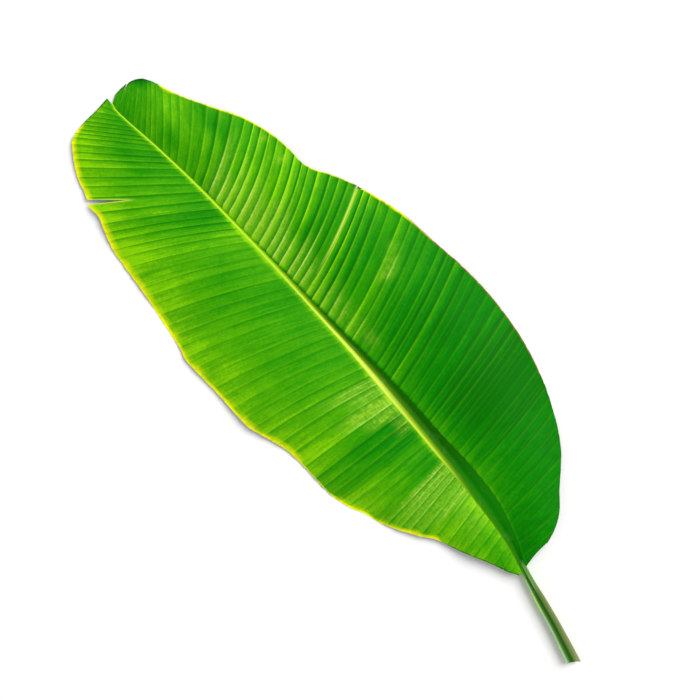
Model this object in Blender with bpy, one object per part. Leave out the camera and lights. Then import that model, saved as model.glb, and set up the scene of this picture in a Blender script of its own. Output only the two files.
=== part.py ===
"""A cut banana leaf, lying upper side up on the surface under it.

The leaf is one solid. It starts as one sheet of triangles: the petiole and the midrib are a strip
of five faces from lip to lip, and on each side of the midrib the blade's rows follow its side
veins out to the margin. The sheet is extruded down, by the blade's thickness at the blade and by
the depth of the keel at the petiole and midrib, so both faces have the same triangles.

X runs along the leaf from the petiole's cut end to the tip, Y to the left half, Z up. Sizes are in
metres. The tables are in leaf coordinates, whose origin is near the middle of the cut end, on the
surface. The object's location moves the middle of the leaf's box to the world's origin.
"""

import math
from collections import namedtuple

import bmesh
import bpy

BLADE_START = 0.172  # where the blade leaves the petiole
MIDRIB_END = 1.197  # where the midrib runs out at the tip
PETIOLE_ROWS = 11
CUT_SLANT = 0.6  # the cut end's X for each unit of Y
CUT_SLANT_LENGTH = 0.05  # the slant fades out over this length of petiole

BLADE_THICKNESS = 0.0009
MARGIN_THICKNESS = 0.0007
BLADE_COLUMNS = (0.0, 0.05, 0.16, 0.31, 0.48, 0.66, 0.84, 1.0)  # shares of the way to the margin
PLEATS = 67  # folds of the blade along each side of the midrib
PLEAT_RISE = 0.0012  # a fold's crest over the blade's mean surface, and its trough under it
PLEAT_START = 0.12  # share of the way out where the folds have their full rise
PLEAT_FADE = 0.35  # share of the rise that is lost at the margin
RIPPLE_RISE = 0.0022  # slow ripple of the margin
RIPPLE_LENGTH = 0.118
FULL_RELIEF_WIDTH = 0.06  # a half this wide has its full folds and ripple

FLAT_SHARE = 0.28  # half width of the channel's floor and of the keel's flat, to the left width
LEFT_WALL_SHARE = 0.66  # where the left wall bends, from the middle to the lip
RIGHT_WALL_SHARE = 0.45
LEFT_WALL_RISE = 0.62  # height of that bend, from the floor to the lip
RIGHT_WALL_RISE = 0.42
KEEL_BULGE = 0.42  # height of the keel's flank, as a share of the floor's height

# Middle of the channel, then the distances from it to the lips, by x
CHANNEL_Y = (
    (0.0, 0.0005), (0.03, -0.0062), (0.07, -0.0150), (0.11, -0.0222), (0.15, -0.0297),
    (0.172, -0.0345), (0.22, -0.0450), (0.30, -0.0530), (0.38, -0.0566), (0.46, -0.0575),
    (0.54, -0.0562), (0.62, -0.0528), (0.70, -0.0475), (0.80, -0.0415), (0.90, -0.0347),
    (1.00, -0.0265), (1.10, -0.0145), (1.165, -0.0045), (1.185, -0.0025), (1.20, -0.0055),
)
LEFT_WIDTH = (
    (0.0, 0.0098), (0.03, 0.0101), (0.07, 0.0095), (0.11, 0.0088), (0.15, 0.0068),
    (0.172, 0.0064), (0.22, 0.0068), (0.30, 0.0095), (0.43, 0.0138), (0.52, 0.0140),
    (0.62, 0.0100), (0.70, 0.0068), (0.80, 0.0052), (0.90, 0.0040), (1.00, 0.0030),
    (1.10, 0.0021), (1.20, 0.0013),
)
RIGHT_WIDTH = (
    (0.0, 0.0098), (0.03, 0.0101), (0.07, 0.0095), (0.11, 0.0088), (0.15, 0.0068),
    (0.172, 0.0064), (0.22, 0.0140), (0.30, 0.0235), (0.36, 0.0215), (0.43, 0.0160),
    (0.52, 0.0120), (0.62, 0.0082), (0.70, 0.0058), (0.80, 0.0044), (0.90, 0.0034),
    (1.00, 0.0027), (1.10, 0.0020), (1.20, 0.0013),
)
# Heights over the surface of the channel's floor and of its lips, by x
FLOOR_Z = (
    (0.0, 0.0095), (0.172, 0.0095), (0.30, 0.0100), (0.45, 0.0090), (0.62, 0.0072),
    (0.80, 0.0052), (1.00, 0.0032), (1.20, 0.0014),
)
LEFT_LIP_Z = (
    (0.0, 0.0165), (0.172, 0.0170), (0.30, 0.0180), (0.45, 0.0165), (0.62, 0.0128),
    (0.80, 0.0084), (1.00, 0.0047), (1.20, 0.0018),
)
RIGHT_LIP_Z = (
    (0.0, 0.0165), (0.172, 0.0170), (0.24, 0.0240), (0.33, 0.0285), (0.45, 0.0225),
    (0.62, 0.0148), (0.80, 0.0092), (1.00, 0.0050), (1.20, 0.0018),
)

# Guide veins of each half: x at the midrib, x and y at the margin
LEFT_VEINS = (
    (0.172, 0.168, -0.0225), (0.188, 0.182, -0.0125), (0.210, 0.202, -0.0035),
    (0.235, 0.225, 0.0080), (0.265, 0.250, 0.0222), (0.300, 0.280, 0.0360),
    (0.320, 0.300, 0.0455), (0.345, 0.322, 0.0630), (0.395, 0.380, 0.0990),
    (0.415, 0.408, 0.1095), (0.435, 0.434, 0.1228), (0.470, 0.470, 0.1325),
    (0.520, 0.526, 0.1358), (0.552, 0.568, 0.1405), (0.585, 0.615, 0.1560),
    (0.610, 0.645, 0.1655), (0.670, 0.720, 0.1692), (0.725, 0.790, 0.1738),
    (0.745, 0.812, 0.1695), (0.790, 0.868, 0.1627), (0.850, 0.934, 0.1552),
    (0.900, 1.000, 0.1513), (0.945, 1.048, 0.1385), (0.965, 1.068, 0.1325),
    (0.983, 1.0955, 0.1348), (0.993, 1.107, 0.1268), (1.020, 1.134, 0.1195),
    (1.060, 1.168, 0.1025), (1.100, 1.195, 0.0805), (1.140, 1.2025, 0.0520),
    (1.170, 1.2040, 0.0260), (1.197, 1.2085, -0.0036),
)
RIGHT_VEINS = (
    (0.172, 0.181, -0.0930), (0.185, 0.188, -0.1120), (0.205, 0.204, -0.1370),
    (0.230, 0.236, -0.1655), (0.265, 0.280, -0.2060), (0.305, 0.330, -0.2355),
    (0.360, 0.391, -0.2598), (0.420, 0.464, -0.2762), (0.450, 0.500, -0.2803),
    (0.480, 0.545, -0.2818), (0.540, 0.620, -0.2768), (0.600, 0.684, -0.2672),
    (0.660, 0.750, -0.2572), (0.710, 0.803, -0.2405), (0.7535, 0.833, -0.2285),
    (0.777, 0.857, -0.2175), (0.800, 0.880, -0.2040), (0.825, 0.903, -0.1890),
    (0.850, 0.925, -0.1828), (0.875, 0.953, -0.1812), (0.900, 0.983, -0.1765),
    (0.950, 1.034, -0.1590), (1.000, 1.092, -0.1245), (1.050, 1.145, -0.0945),
    (1.100, 1.181, -0.0790), (1.140, 1.1985, -0.0668), (1.165, 1.2055, -0.0500),
    (1.185, 1.2065, -0.0340), (1.197, 1.2045, -0.0180),
)
# A side vein's bow: 0 is straight, more turns it to the tip near the margin
LEFT_BOW = ((0.17, 0.0), (0.40, 0.15), (0.70, 0.10), (1.00, 0.10), (1.20, 0.0))
RIGHT_BOW = ((0.172, -1.0), (0.21, 0.0), (0.40, 0.20), (0.70, 0.30), (1.00, 0.25), (1.20, 0.0))
# Heights that shape each half from the lip to the margin: two controls, then the margin itself
LEFT_INNER_Z = (
    (0.172, 0.0175), (0.22, 0.0205), (0.30, 0.026), (0.45, 0.031), (0.62, 0.031),
    (0.80, 0.027), (1.00, 0.019), (1.12, 0.011), (1.20, 0.003),
)
LEFT_OUTER_Z = (
    (0.172, 0.0178), (0.22, 0.021), (0.30, 0.027), (0.45, 0.032), (0.62, 0.034),
    (0.80, 0.031), (1.00, 0.024), (1.12, 0.014), (1.20, 0.004),
)
LEFT_MARGIN_Z = (
    (0.172, 0.0172), (0.24, 0.016), (0.33, 0.009), (0.42, 0.000), (0.47, 0.000),
    (0.56, 0.006), (0.64, 0.008), (0.73, 0.002), (0.79, 0.000), (0.90, 0.005),
    (0.98, 0.007), (1.08, 0.004), (1.20, 0.002),
)
RIGHT_INNER_Z = (
    (0.172, 0.0210), (0.22, 0.033), (0.30, 0.041), (0.45, 0.039), (0.62, 0.032),
    (0.80, 0.026), (1.00, 0.019), (1.12, 0.011), (1.20, 0.003),
)
RIGHT_OUTER_Z = (
    (0.172, 0.0235), (0.22, 0.034), (0.30, 0.038), (0.45, 0.036), (0.62, 0.034),
    (0.80, 0.029), (1.00, 0.023), (1.12, 0.014), (1.20, 0.004),
)
RIGHT_MARGIN_Z = (
    (0.172, 0.0230), (0.21, 0.021), (0.27, 0.010), (0.34, 0.000), (0.42, 0.002),
    (0.52, 0.007), (0.62, 0.002), (0.69, 0.000), (0.76, 0.002), (0.83, 0.009),
    (0.93, 0.004), (1.02, 0.007), (1.10, 0.004), (1.20, 0.002),
)

# A tear runs along a side vein, from a share of the way out to the margin, where it gapes. drop is
# how far its edge on the tip's side is drawn back from the margin
Tear = namedtuple("Tear", "side x start gap drop")
TEARS = (
    Tear(1, 0.983, 0.70, 0.0050, 0.0062),
    Tear(-1, 0.7535, 0.95, 0.0022, 0.0),
    Tear(-1, 1.174, 0.62, 0.0024, 0.0),
)

# One half of the blade. side is 1 for the left half and -1 for the right one
Half = namedtuple("Half", "side lip_column margin_x margin_y bow inner_z outer_z margin_z")


def half_of(side, lip_column, veins, bow, inner_z, outer_z, margin_z):
    margin_x = tuple((x, end_x) for x, end_x, _ in veins)
    margin_y = tuple((x, end_y) for x, _, end_y in veins)
    return Half(side, lip_column, margin_x, margin_y, bow, inner_z, outer_z, margin_z)


LEFT_HALF = half_of(1, 0, LEFT_VEINS, LEFT_BOW, LEFT_INNER_Z, LEFT_OUTER_Z, LEFT_MARGIN_Z)
RIGHT_HALF = half_of(-1, 5, RIGHT_VEINS, RIGHT_BOW, RIGHT_INNER_Z, RIGHT_OUTER_Z, RIGHT_MARGIN_Z)


def smooth(points, x):
    """A smooth curve through the points, which never overshoots them, read at x."""
    if x <= points[0][0]:
        return points[0][1]
    if x >= points[-1][0]:
        return points[-1][1]
    chords = [(b[1] - a[1]) / (b[0] - a[0]) for a, b in zip(points, points[1:])]
    i = max(k for k in range(len(chords)) if points[k][0] <= x)

    def slope(k):
        if k == 0:
            return chords[0]
        if k == len(chords):
            return chords[-1]
        before, after = chords[k - 1], chords[k]
        return 0.0 if before * after <= 0 else 2 * before * after / (before + after)

    (x0, y0), (x1, y1) = points[i], points[i + 1]
    width = x1 - x0
    t = (x - x0) / width
    return (
        y0 * (1 + 2 * t) * (1 - t) ** 2
        + slope(i) * width * t * (1 - t) ** 2
        + y1 * t * t * (3 - 2 * t)
        + slope(i + 1) * width * t * t * (t - 1)
    )


def arch(s, start, inner, outer, end):
    """Height at a share s of the way out, from its start and end and two control heights between."""
    r = 1 - s
    return start * r ** 3 + 3 * inner * s * r * r + 3 * outer * s * s * r + end * s ** 3


def midrib_point(x, column):
    """X, Y, top and bottom at one column of the strip, from the left lip, 0, to the right lip, 5."""
    middle, left, right = smooth(CHANNEL_Y, x), smooth(LEFT_WIDTH, x), smooth(RIGHT_WIDTH, x)
    floor = smooth(FLOOR_Z, x)
    left_lip, right_lip = smooth(LEFT_LIP_Z, x), smooth(RIGHT_LIP_Z, x)
    flat = FLAT_SHARE * left
    y, top, bottom = (
        (left, left_lip, left_lip - BLADE_THICKNESS),
        (LEFT_WALL_SHARE * left, floor + LEFT_WALL_RISE * (left_lip - floor), KEEL_BULGE * floor),
        (flat, floor, 0.0),
        (-flat, floor, 0.0),
        (
            -flat - RIGHT_WALL_SHARE * (right - flat),
            floor + RIGHT_WALL_RISE * (right_lip - floor),
            KEEL_BULGE * floor,
        ),
        (-right, right_lip, right_lip - BLADE_THICKNESS),
    )[column]
    return x, middle + y, top, bottom


def blade_point(half, x, s, fold):
    """X, Y, top and bottom on the side vein that leaves the midrib at x, a share s of the way out.

    fold is 1 on a fold's crest and -1 in its trough. Where the blade would sink into the surface
    that the leaf lies on, it lies flat on it.
    """
    lip_x, lip_y, lip_z, _ = midrib_point(x, half.lip_column)
    margin_x, margin_y = smooth(half.margin_x, x), smooth(half.margin_y, x)
    bow = smooth(half.bow, x)
    thickness = BLADE_THICKNESS + (MARGIN_THICKNESS - BLADE_THICKNESS) * s
    relief = min(1.0, abs(margin_y - lip_y) / FULL_RELIEF_WIDTH)
    ripple = s * s * math.sin(2 * math.pi * x / RIPPLE_LENGTH + half.side)
    folds = fold * min(1.0, s / PLEAT_START) * (1 - PLEAT_FADE * s)
    top = (
        arch(s, lip_z, smooth(half.inner_z, x), smooth(half.outer_z, x),
             smooth(half.margin_z, x) + MARGIN_THICKNESS)
        + relief * (RIPPLE_RISE * ripple + PLEAT_RISE * folds)
    )
    bottom = max(0.0, top - thickness)
    along = s * (1 - bow) + bow * s * s
    return (
        lip_x + (margin_x - lip_x) * along,
        lip_y + (margin_y - lip_y) * s,
        bottom + thickness,
        bottom,
    )


def tear_at(half, x, s, row_step):
    """How far each edge of a tear on this side vein stands from it, and its tip side's drop."""
    for tear in TEARS:
        if tear.side == half.side and abs(tear.x - x) <= row_step / 2 and s > tear.start:
            share = (s - tear.start) / (1 - tear.start)
            return 0.5 * tear.gap * share, half.side * tear.drop * share
    return 0.0, 0.0


def leaf_sheet(bm):
    """The leaf's upper face. Each vertex also keeps the height of the lower face under it."""
    under = bm.verts.layers.float.new("under")
    rows = 2 * PLEATS
    step = (MIDRIB_END - BLADE_START) / rows

    def vertex(x, y, top, bottom):
        vert = bm.verts.new((x, y, top))
        vert[under] = bottom
        return vert

    def petiole_row(x):
        slant = CUT_SLANT * max(0.0, 1 - x / CUT_SLANT_LENGTH)
        middle = smooth(CHANNEL_Y, x)
        points = [midrib_point(x, column) for column in range(6)]
        return [vertex(px + slant * (y - middle), y, top, bottom) for px, y, top, bottom in points]

    def blade_row(half, row):
        """The row's vertices outside the midrib, for the faces before it and for those after it."""
        x = BLADE_START + row * step
        fold = half.side if row % 2 else -half.side
        before, after = [], []
        for s in BLADE_COLUMNS[1:]:
            px, y, top, bottom = blade_point(half, x, s, fold)
            gape, drop = tear_at(half, x, s, step)
            before.append(vertex(px - gape, y, top, bottom))
            after.append(vertex(px + gape, y - drop, top, bottom) if gape else before[-1])
        return before, after

    edges = []
    for row in range(PETIOLE_ROWS):
        verts = petiole_row(BLADE_START * row / PETIOLE_ROWS)
        edges.append((verts, verts))
    for row in range(rows + 1):
        midrib = [vertex(*midrib_point(BLADE_START + row * step, column)) for column in range(6)]
        left_before, left_after = blade_row(LEFT_HALF, row)
        right_before, right_after = blade_row(RIGHT_HALF, row)
        before = left_before[::-1] + midrib + right_before if row else midrib
        edges.append((before, left_after[::-1] + midrib + right_after))
    for (_, near), (far, _) in zip(edges, edges[1:]):
        for a, b, c, d in zip(near, near[1:], far[1:], far):
            bm.faces.new((a, b, c))
            bm.faces.new((a, c, d))
    return under


def leaf_mesh():
    """The sheet extruded down to its lower face."""
    bm = bmesh.new()
    under = leaf_sheet(bm)
    made = bmesh.ops.extrude_face_region(bm, geom=bm.faces[:], use_keep_orig=True)
    for vert in (item for item in made["geom"] if isinstance(item, bmesh.types.BMVert)):
        vert.co.z = vert[under]
    bmesh.ops.recalc_face_normals(bm, faces=bm.faces[:])
    bm.verts.layers.float.remove(under)
    mesh = bpy.data.meshes.new("banana_leaf")
    bm.to_mesh(mesh)
    bm.free()
    return mesh


def leaf_material():
    green = (0.045, 0.27, 0.008, 1.0)
    material = bpy.data.materials.new("leaf_green")
    material.use_nodes = True
    material.diffuse_color = green
    shader = material.node_tree.nodes["Principled BSDF"]
    shader.inputs["Base Color"].default_value = green
    shader.inputs["Roughness"].default_value = 0.42
    shader.inputs["Metallic"].default_value = 0.0
    return material


def main():
    for old in list(bpy.data.objects):
        bpy.data.objects.remove(old, do_unlink=True)
    mesh = leaf_mesh()
    mesh.materials.append(leaf_material())
    leaf = bpy.data.objects.new("banana_leaf", mesh)
    low = [min(vert.co[axis] for vert in mesh.vertices) for axis in range(3)]
    high = [max(vert.co[axis] for vert in mesh.vertices) for axis in range(3)]
    leaf.location = (-(low[0] + high[0]) / 2, -(low[1] + high[1]) / 2, -low[2])
    bpy.context.collection.objects.link(leaf)


main()
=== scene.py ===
"""Looks of the banana leaf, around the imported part.

Three finer closed meshes stand for the leaf's solid: the two halves of the blade, with their pleats,
side veins, tears and rolled inner edges, and the petiole with the midrib. Their outline, midrib and
bow are the solid's, and only the lean of the side veins inside the blade was corrected here. All
points are made in leaf coordinates, X from the cut end to the tip, Y to the left half and Z up, and
are then shifted to the part's place.
"""

import math
from collections import namedtuple

import bpy
import numpy as np
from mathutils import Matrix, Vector


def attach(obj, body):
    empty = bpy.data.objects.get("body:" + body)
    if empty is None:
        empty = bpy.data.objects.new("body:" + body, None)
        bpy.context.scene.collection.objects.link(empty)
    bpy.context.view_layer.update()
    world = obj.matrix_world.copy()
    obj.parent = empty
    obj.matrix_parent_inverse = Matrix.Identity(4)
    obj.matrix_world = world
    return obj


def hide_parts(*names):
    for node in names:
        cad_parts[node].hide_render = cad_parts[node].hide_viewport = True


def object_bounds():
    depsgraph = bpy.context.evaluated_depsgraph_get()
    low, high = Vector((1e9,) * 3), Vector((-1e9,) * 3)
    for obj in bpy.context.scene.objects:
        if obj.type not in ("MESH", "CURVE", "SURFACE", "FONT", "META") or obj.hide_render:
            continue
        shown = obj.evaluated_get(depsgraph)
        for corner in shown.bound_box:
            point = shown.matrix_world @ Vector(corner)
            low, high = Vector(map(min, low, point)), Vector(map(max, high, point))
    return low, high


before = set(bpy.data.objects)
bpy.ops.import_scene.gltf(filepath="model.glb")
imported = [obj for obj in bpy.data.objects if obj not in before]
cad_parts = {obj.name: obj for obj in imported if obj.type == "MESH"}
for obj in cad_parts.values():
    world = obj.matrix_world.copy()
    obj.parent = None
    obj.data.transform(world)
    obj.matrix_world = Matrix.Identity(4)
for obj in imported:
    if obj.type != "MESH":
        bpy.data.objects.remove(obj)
cad_low, cad_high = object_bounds()

# The leaf's curves, as in the solid except for where the side veins start and how they bow
BLADE_START = 0.172
MIDRIB_END = 1.197
CUT_SLANT = 0.6
CUT_SLANT_LENGTH = 0.05
BLADE_SET_IN = 0.004  # the petiole turns into the midrib over this length on each side of the start
LEAF_LOW_X = -0.00588  # the solid's lowest X and Y in leaf coordinates
LEAF_LOW_Y = -0.28179

BLADE_THICKNESS = 0.0009
MARGIN_THICKNESS = 0.0007
RIPPLE_RISE = 0.0022
RIPPLE_LENGTH = 0.118
FULL_RELIEF_WIDTH = 0.06

FLAT_SHARE = 0.28
LEFT_WALL_SHARE = 0.66
RIGHT_WALL_SHARE = 0.45
LEFT_WALL_RISE = 0.62
RIGHT_WALL_RISE = 0.42
KEEL_BULGE = 0.42
LIP_GAP = 0.0003  # between the channel's lip and the blade's edge beside it
EDGE_ROUNDING = 0.00035  # of the petiole's edges

CHANNEL_Y = (
    (0.0, 0.0005), (0.03, -0.0062), (0.07, -0.0150), (0.11, -0.0222), (0.15, -0.0297),
    (0.172, -0.0345), (0.22, -0.0450), (0.30, -0.0530), (0.38, -0.0566), (0.46, -0.0575),
    (0.54, -0.0562), (0.62, -0.0528), (0.70, -0.0475), (0.80, -0.0415), (0.90, -0.0347),
    (1.00, -0.0265), (1.10, -0.0145), (1.165, -0.0045), (1.185, -0.0025), (1.20, -0.0055),
)
LEFT_WIDTH = (
    (0.0, 0.0098), (0.03, 0.0101), (0.07, 0.0095), (0.11, 0.0088), (0.15, 0.0068),
    (0.172, 0.0064), (0.22, 0.0068), (0.30, 0.0095), (0.43, 0.0138), (0.52, 0.0140),
    (0.62, 0.0100), (0.70, 0.0068), (0.80, 0.0052), (0.90, 0.0040), (1.00, 0.0030),
    (1.10, 0.0021), (1.20, 0.0013),
)
RIGHT_WIDTH = (
    (0.0, 0.0098), (0.03, 0.0101), (0.07, 0.0095), (0.11, 0.0088), (0.15, 0.0068),
    (0.172, 0.0064), (0.22, 0.0140), (0.30, 0.0235), (0.36, 0.0215), (0.43, 0.0160),
    (0.52, 0.0120), (0.62, 0.0082), (0.70, 0.0058), (0.80, 0.0044), (0.90, 0.0034),
    (1.00, 0.0027), (1.10, 0.0020), (1.20, 0.0013),
)
FLOOR_Z = (
    (0.0, 0.0095), (0.172, 0.0095), (0.30, 0.0100), (0.45, 0.0090), (0.62, 0.0072),
    (0.80, 0.0052), (1.00, 0.0032), (1.20, 0.0014),
)
LEFT_LIP_Z = (
    (0.0, 0.0165), (0.172, 0.0170), (0.30, 0.0180), (0.45, 0.0165), (0.62, 0.0128),
    (0.80, 0.0084), (1.00, 0.0047), (1.20, 0.0018),
)
RIGHT_LIP_Z = (
    (0.0, 0.0165), (0.172, 0.0170), (0.24, 0.0240), (0.33, 0.0285), (0.45, 0.0225),
    (0.62, 0.0148), (0.80, 0.0092), (1.00, 0.0050), (1.20, 0.0018),
)

# Guide veins of each half: x at the midrib, x and y at the margin
LEFT_VEINS = (
    (0.172, 0.168, -0.0225), (0.188, 0.182, -0.0125), (0.210, 0.202, -0.0035),
    (0.235, 0.225, 0.0080), (0.265, 0.250, 0.0222), (0.300, 0.280, 0.0360),
    (0.320, 0.300, 0.0455), (0.345, 0.322, 0.0630), (0.395, 0.380, 0.0990),
    (0.414, 0.408, 0.1095), (0.433, 0.434, 0.1228), (0.466, 0.470, 0.1325),
    (0.515, 0.526, 0.1358), (0.547, 0.568, 0.1405), (0.579, 0.615, 0.1560),
    (0.603, 0.645, 0.1655), (0.662, 0.720, 0.1692), (0.717, 0.790, 0.1738),
    (0.737, 0.812, 0.1695), (0.784, 0.868, 0.1627), (0.846, 0.934, 0.1552),
    (0.898, 1.000, 0.1513), (0.945, 1.048, 0.1385), (0.965, 1.068, 0.1325),
    (0.983, 1.0955, 0.1348), (0.993, 1.107, 0.1268), (1.020, 1.134, 0.1195),
    (1.060, 1.168, 0.1025), (1.100, 1.195, 0.0805), (1.140, 1.2025, 0.0520),
    (1.170, 1.2040, 0.0260), (1.197, 1.2085, -0.0036),
)
RIGHT_VEINS = (
    (0.172, 0.181, -0.0930), (0.185, 0.188, -0.1120), (0.205, 0.204, -0.1370),
    (0.230, 0.236, -0.1655), (0.265, 0.280, -0.2060), (0.305, 0.330, -0.2355),
    (0.360, 0.391, -0.2598), (0.420, 0.464, -0.2762), (0.450, 0.500, -0.2803),
    (0.480, 0.545, -0.2818), (0.540, 0.620, -0.2768), (0.600, 0.684, -0.2672),
    (0.660, 0.750, -0.2572), (0.710, 0.803, -0.2405), (0.7535, 0.833, -0.2285),
    (0.777, 0.857, -0.2175), (0.800, 0.880, -0.2040), (0.825, 0.903, -0.1890),
    (0.850, 0.925, -0.1828), (0.875, 0.953, -0.1812), (0.904, 0.983, -0.1765),
    (0.960, 1.034, -0.1590), (1.011, 1.092, -0.1245), (1.061, 1.145, -0.0945),
    (1.107, 1.181, -0.0790), (1.142, 1.1985, -0.0668), (1.165, 1.2055, -0.0500),
    (1.185, 1.2065, -0.0340), (1.197, 1.2045, -0.0180),
)
# How much the side veins curve towards the tip on their way out, by x at the midrib
LEFT_BOW = (
    (0.17, 0.0), (0.36, 0.15), (0.42, 0.0), (0.46, -0.6), (0.52, -0.7), (0.58, -0.5), (0.66, -0.35),
    (0.76, -0.2), (0.90, -0.15), (1.00, 0.05), (1.20, 0.0),
)
RIGHT_BOW = (
    (0.172, -1.0), (0.21, 0.0), (0.40, 0.20), (0.70, 0.34), (0.80, 0.45), (0.90, 0.50), (1.00, 0.36),
    (1.20, 0.0),
)
# Heights that pull the blade's bow up near the midrib and near the margin, and the height of the
# margin's underside, by x at the midrib
LEFT_INNER_Z = (
    (0.172, 0.0175), (0.22, 0.0205), (0.30, 0.026), (0.45, 0.031), (0.62, 0.031),
    (0.80, 0.027), (1.00, 0.019), (1.12, 0.011), (1.20, 0.003),
)
LEFT_OUTER_Z = (
    (0.172, 0.0178), (0.22, 0.021), (0.30, 0.027), (0.45, 0.032), (0.62, 0.034),
    (0.80, 0.031), (1.00, 0.024), (1.12, 0.014), (1.20, 0.004),
)
LEFT_MARGIN_Z = (
    (0.172, 0.0172), (0.24, 0.016), (0.33, 0.009), (0.42, 0.000), (0.47, 0.000),
    (0.56, 0.006), (0.64, 0.008), (0.73, 0.002), (0.79, 0.000), (0.90, 0.005),
    (0.98, 0.007), (1.08, 0.004), (1.20, 0.002),
)
RIGHT_INNER_Z = (
    (0.172, 0.0210), (0.22, 0.033), (0.30, 0.041), (0.45, 0.039), (0.62, 0.032),
    (0.80, 0.026), (1.00, 0.019), (1.12, 0.011), (1.20, 0.003),
)
RIGHT_OUTER_Z = (
    (0.172, 0.0235), (0.22, 0.034), (0.30, 0.038), (0.45, 0.036), (0.62, 0.034),
    (0.80, 0.029), (1.00, 0.023), (1.12, 0.014), (1.20, 0.004),
)
RIGHT_MARGIN_Z = (
    (0.172, 0.0230), (0.21, 0.021), (0.27, 0.010), (0.34, 0.000), (0.42, 0.002),
    (0.52, 0.007), (0.62, 0.002), (0.69, 0.000), (0.76, 0.002), (0.83, 0.009),
    (0.93, 0.004), (1.02, 0.007), (1.10, 0.004), (1.20, 0.002),
)

# A tear runs along a side vein, from a share of the way out to the margin, where it gapes. drop is
# how far its edge on the tip's side is drawn back from the margin, and such an edge is torn and pale
Tear = namedtuple("Tear", "side x start gap drop")
TEARS = (
    Tear(1, 0.983, 0.65, 0.0052, 0.0062),
    Tear(-1, 0.7535, 0.95, 0.0022, 0.0),
    Tear(-1, 1.174, 0.62, 0.0024, 0.0),
)
TEAR_SPREAD = 0.0077  # the blade draws aside over this much of the midrib's length on each side
TORN_WIDTH = 0.0018

# Pleats of the blade: arcs hanging between raised side veins
PLEAT_PITCH = (
    (0.17, 0.017), (0.32, 0.018), (0.36, 0.0135), (0.42, 0.016), (0.50, 0.020),
    (0.63, 0.019), (0.75, 0.0165), (1.00, 0.0170), (1.10, 0.0130), (1.20, 0.0100),
)
PITCH_JITTER = 0.20
LAST_PLEAT = 0.006  # the pleat at the tip is at least this wide
VEIN_STRENGTHS = (0.55, 1.0)
PLEAT_RISE = 0.00085
HALF_PLEAT_RISE = 0.00022
RIB_RISE = 0.00016
MIDDLE_RIB = 0.45  # share of it on a fold in the middle of a pleat
FOLD_GAIN, FOLD_LEAST = 1.6, 0.4  # about a quarter of the pleats have none
LINE_WIDTH = 0.0012  # half width of the pale line on a raised vein
PLEAT_STEPS = (0.0, 0.045, 0.12, 0.21, 0.31, 0.41, 0.465, 0.5, 0.535, 0.59, 0.69, 0.79, 0.88, 0.955)
PLEAT_START = 0.007  # the pleats have their full rise this far from the midrib
PLEAT_FADE = 0.35
LEFT_RELIEF = ((0.17, 0.15), (0.24, 0.30), (0.32, 0.85), (0.40, 1.0), (1.10, 1.0), (1.20, 0.5))
RIGHT_RELIEF = (
    (0.17, 0.15), (0.32, 0.40), (0.46, 0.75), (0.55, 1.0), (0.98, 1.0), (1.04, 0.5), (1.20, 0.3),
)
SWELL_RISE = 0.0006  # slow rise and fall of the blade over several pleats
SWELL_LENGTH = 0.045
VEIN_DRIFT = 0.03  # how far the swell shifts along the leaf from midrib to margin
MARGIN_WEAR = 0.0007  # how far the margin is eaten back at most
WEAR_LENGTH, FINE_WEAR_LENGTH, FINE_WEAR = 0.006, 0.0021, 0.3
MARGIN_INSET = 0.00005  # keeps the margin inside the solid's box

OUT_STEPS = 34
OUT_SPREAD = 1.2  # over 1, the steps lie closer beside the midrib
MARGIN_STEPS = (0.972, 0.981, 0.988, 0.993, 0.997, 1.0)
ROLL_ANGLES = (90, 60, 30)  # the blade's inner edge rolls down over the channel's lip
ROLLED = len(ROLL_ANGLES)
LEFT_ROLL, RIGHT_ROLL = (0.0009, 0.0008), (0.0018, 0.0024)  # how far it rolls in, and down
ROLL_FULL_WIDTH = 0.006  # where the channel is this wide, the roll has its full size
ROLL_AT_VEIN = 0.35  # share of the way in that the edge rolls at a raised vein
SHARP_ANGLE = 55  # degrees

MIDRIB_ROWS = 320
MIDRIB_COLUMNS = 23

Half = namedtuple(
    "Half", "side seed width lip_z margin_x margin_y bow inner_z outer_z margin_z relief roll"
)
# One row of the blade's points for each step across each pleat. u runs from 0 to 1 across the pleat
# and x along the midrib. heights is the raised veins' strength, second the middle fold's, and
# chances holds four random values of the row's pleat
Rows = namedtuple("Rows", "pleat u x pitch heights second chances")


def half_of(side, seed, width, lip_z, veins, bow, inner_z, outer_z, margin_z, relief, roll):
    margin_x = tuple((x, end_x) for x, end_x, _ in veins)
    margin_y = tuple((x, end_y) for x, _, end_y in veins)
    return Half(
        side, seed, width, lip_z, margin_x, margin_y, bow, inner_z, outer_z, margin_z, relief, roll
    )


LEFT_HALF = half_of(1, 11, LEFT_WIDTH, LEFT_LIP_Z, LEFT_VEINS, LEFT_BOW, LEFT_INNER_Z,
                    LEFT_OUTER_Z, LEFT_MARGIN_Z, LEFT_RELIEF, LEFT_ROLL)
RIGHT_HALF = half_of(-1, 23, RIGHT_WIDTH, RIGHT_LIP_Z, RIGHT_VEINS, RIGHT_BOW, RIGHT_INNER_Z,
                     RIGHT_OUTER_Z, RIGHT_MARGIN_Z, RIGHT_RELIEF, RIGHT_ROLL)


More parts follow.
